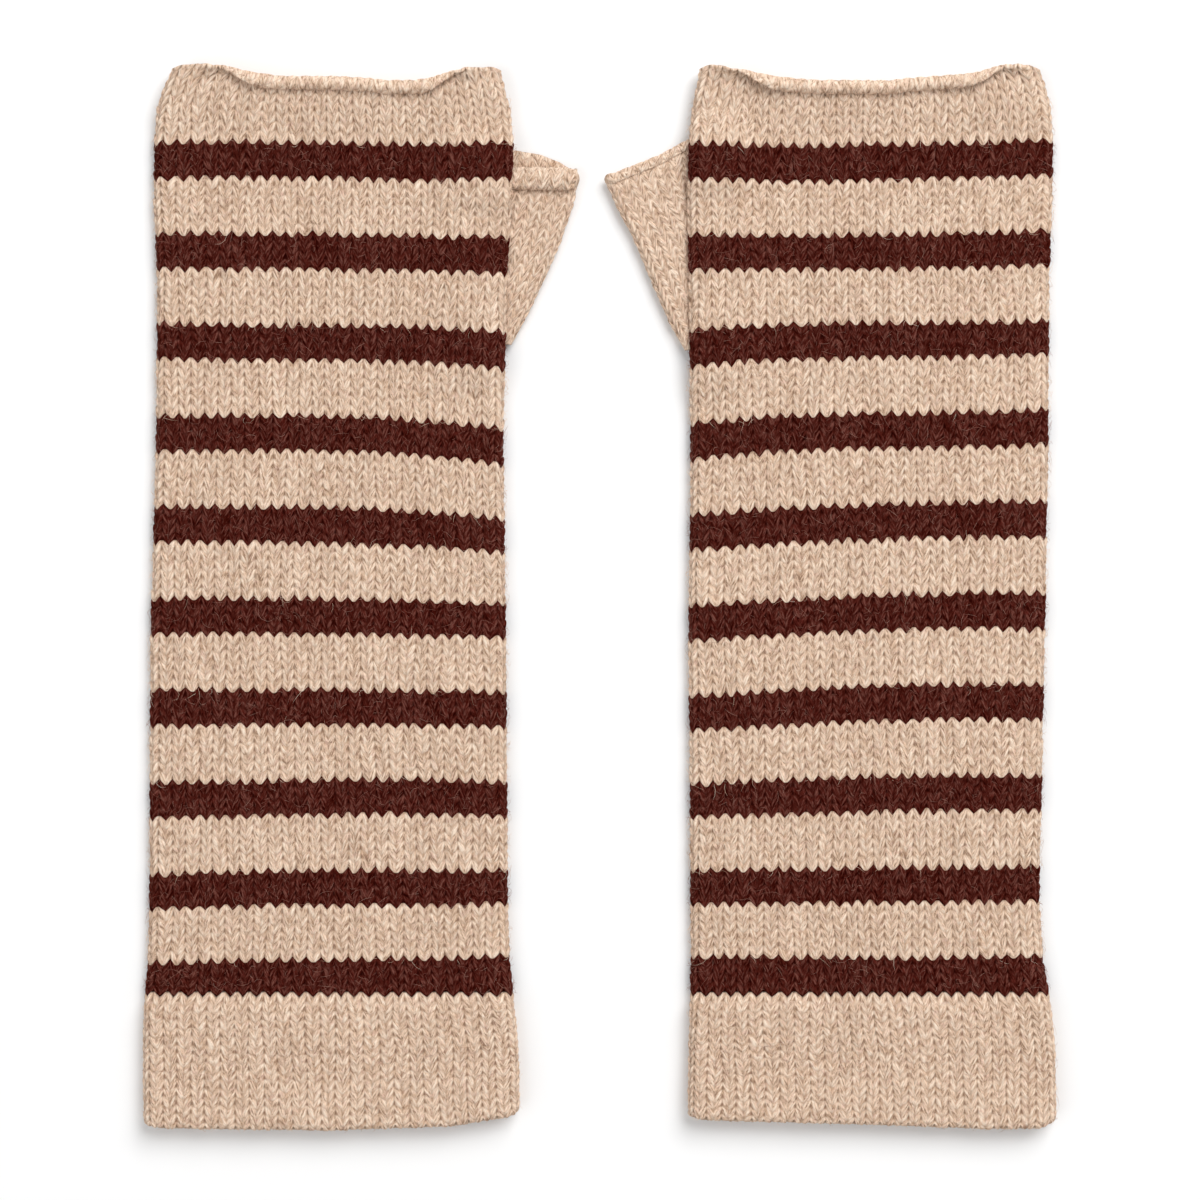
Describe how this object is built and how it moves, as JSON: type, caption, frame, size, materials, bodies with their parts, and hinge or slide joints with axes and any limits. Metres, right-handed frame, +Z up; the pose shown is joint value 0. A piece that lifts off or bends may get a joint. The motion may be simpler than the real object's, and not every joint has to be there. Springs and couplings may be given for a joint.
{
  "type": "pair of wrist warmers",
  "caption": "Long striped knitted wrist warmers with rolled rims, thumb wedges and turned hems, laid flat side by side.",
  "frame": {"origin": "middle of the pair on the surface that it lies on", "axes": "+X from the left mitt to the right one, +Y from the hems to the finger ends, +Z up from the surface"},
  "size_m": [0.242, 0.282, 0.0088],
  "materials": {
    "oatmeal_yarn": "matt knitted wool with a soft nap",
    "dark_brown_yarn": "matt knitted wool with a soft nap"
  },
  "bodies": {
    "root": {"left_hand_front": "oatmeal_yarn", "left_hand_back": "oatmeal_yarn", "left_hem_front": "oatmeal_yarn", "left_hem_back": "oatmeal_yarn", "left_thumb_front": "oatmeal_yarn", "left_thumb_back": "oatmeal_yarn", "right_hand_front": "oatmeal_yarn", "right_hand_back": "oatmeal_yarn", "right_hem_front": "oatmeal_yarn", "right_hem_back": "oatmeal_yarn", "right_thumb_front": "oatmeal_yarn", "right_thumb_back": "oatmeal_yarn"}
  },
  "joints": []
}
